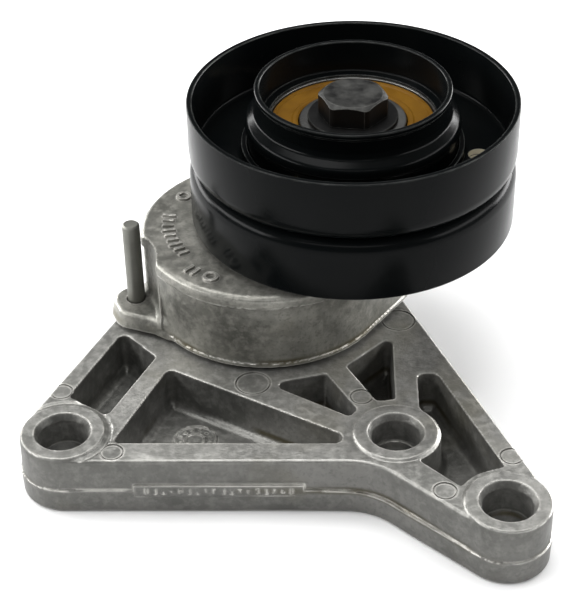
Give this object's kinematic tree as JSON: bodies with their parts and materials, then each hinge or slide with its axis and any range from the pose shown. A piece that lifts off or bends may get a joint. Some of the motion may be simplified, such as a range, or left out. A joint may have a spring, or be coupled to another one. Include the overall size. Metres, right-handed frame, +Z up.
{
  "type": "belt tensioner idler",
  "caption": "Belt tensioner: cast three-bolt bracket, sprung swing arm on a pivot, smooth pressed-steel idler pulley on a ball bearing, and a lock pin.",
  "frame": {"origin": "on the pivot axis, at the bracket's flat underside", "axes": "+Z up along the pivot, out of the bracket towards the pulley; +X along the bracket's straight front edge, from the left to the middle bolt hole; +Y away from that edge"},
  "size_m": [0.1367, 0.1483, 0.0827],
  "materials": {
    "bracket_cast": "die-cast aluminium, as cast, mottled grey with bright worn edges",
    "arm_cast": "die-cast aluminium, as cast, a little darker",
    "black_paint": "black coated pressed steel, half gloss",
    "black_bolt": "black oxide steel, dull",
    "bright_steel": "turned steel",
    "bearing_steel": "ground bearing steel",
    "spring_steel": "dark drawn spring steel",
    "pin_steel": "dark grey drawn steel",
    "cage_steel": "pressed steel cage",
    "ochre_seal": "ochre brown moulded rubber, matt",
    "bush_polymer": "natural bearing polymer",
    "damping_polymer": "dark filled nylon"
  },
  "bodies": {
    "bracket": {"bracket": "bracket_cast", "pivot_shaft": "bright_steel", "torsion_spring": "spring_steel", "thrust_washer": "bright_steel", "end_plate": "bright_steel"},
    "arm": {"arm_casting": "arm_cast", "lower_bush": "bush_polymer", "upper_bush": "bush_polymer", "damping_ring": "damping_polymer", "rear_dust_shield": "bright_steel", "bearing_sleeve": "bright_steel", "bearing_inner_ring": "bearing_steel", "bolt_washer": "black_bolt", "pulley_bolt": "black_bolt"},
    "pulley": {"upper_shell": "black_paint", "lower_shell": "black_paint", "hub_cup": "black_paint", "bearing_outer_ring": "bearing_steel", "front_seal": "ochre_seal", "rear_seal": "ochre_seal"},
    "cage": {"cage_upper": "cage_steel", "cage_lower": "cage_steel", "ball_1": "bearing_steel", "ball_2": "bearing_steel", "ball_3": "bearing_steel", "ball_4": "bearing_steel", "ball_5": "bearing_steel", "ball_6": "bearing_steel", "ball_7": "bearing_steel"},
    "pin": {"lock_pin": "pin_steel"}
  },
  "joints": [
    {"name": "arm_swing", "type": "hinge", "parent": "bracket", "child": "arm", "pos_m": [0, 0, 0], "axis": [0, 0, 1], "range_deg": [-40, 0]},
    {"name": "pulley_spin", "type": "hinge", "parent": "arm", "child": "pulley", "pos_m": [0.024, 0.0063, 0.0622], "axis": [0, 0, 1], "continuous": true},
    {"name": "cage_spin", "type": "hinge", "parent": "arm", "child": "cage", "pos_m": [0.024, 0.0063, 0.0622], "axis": [0, 0, 1], "continuous": true},
    {"name": "pin_pull", "type": "slide", "parent": "arm", "child": "pin", "axis": [0, 0, 1], "range_m": [0, 0.025]}
  ],
  "couplings": [
    {"joint": "cage_spin", "follows": "pulley_spin", "ratio": 0.6323}
  ]
}
